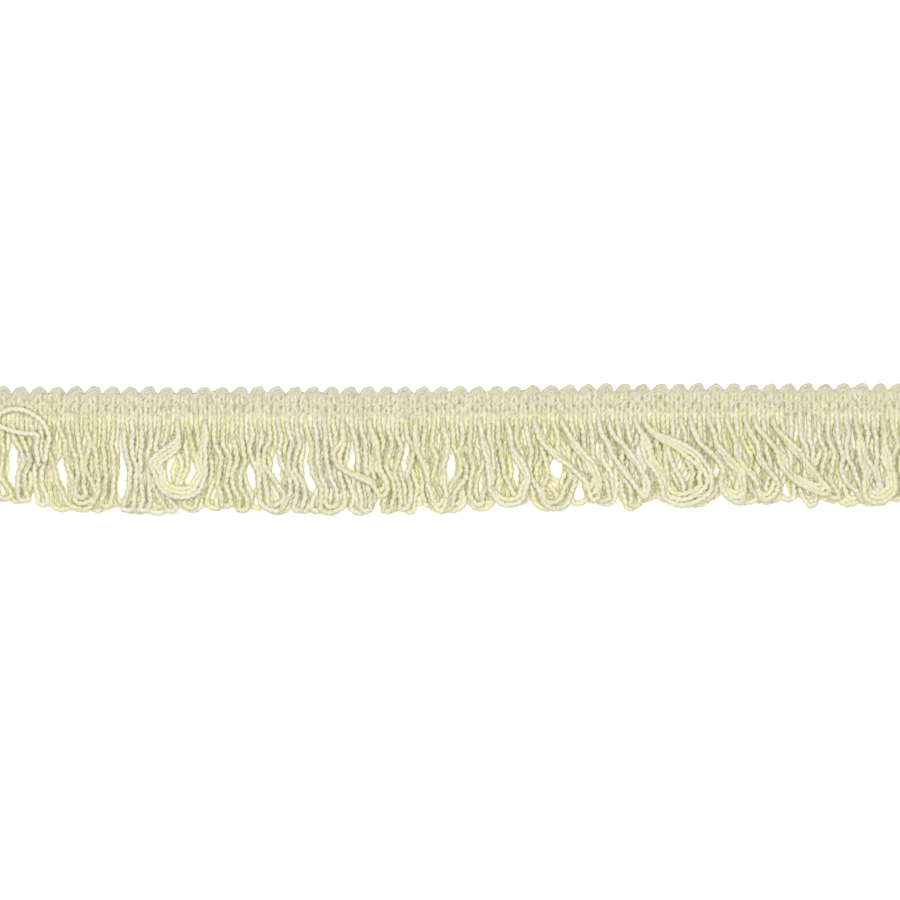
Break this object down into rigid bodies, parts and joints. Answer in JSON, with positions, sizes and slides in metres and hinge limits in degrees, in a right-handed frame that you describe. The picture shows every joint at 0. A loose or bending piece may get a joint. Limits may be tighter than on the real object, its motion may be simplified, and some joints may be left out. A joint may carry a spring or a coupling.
{
  "type": "looped fringe trim",
  "caption": "Cut length of looped fringe: a stitched, scalloped heading with a skirt of uncut yarn loops, lying flat, to sew or glue along an edge.",
  "frame": {"origin": "centre of the bounding box, on the flat back that lies on the surface", "axes": "+X along the trim, +Y from the loops to the scalloped edge, +Z out of the right side"},
  "size_m": [0.2112, 0.03, 0.0045],
  "materials": {
    "heading_yarn": "stitched ivory cotton yarn, matt with soft highlights on each stitch",
    "loop_yarn": "two-ply twisted ivory cotton yarn, matt with soft highlights along the twist"
  },
  "bodies": {
    "root": {"heading": "heading_yarn", "loop_fringe": "loop_yarn"}
  },
  "joints": []
}
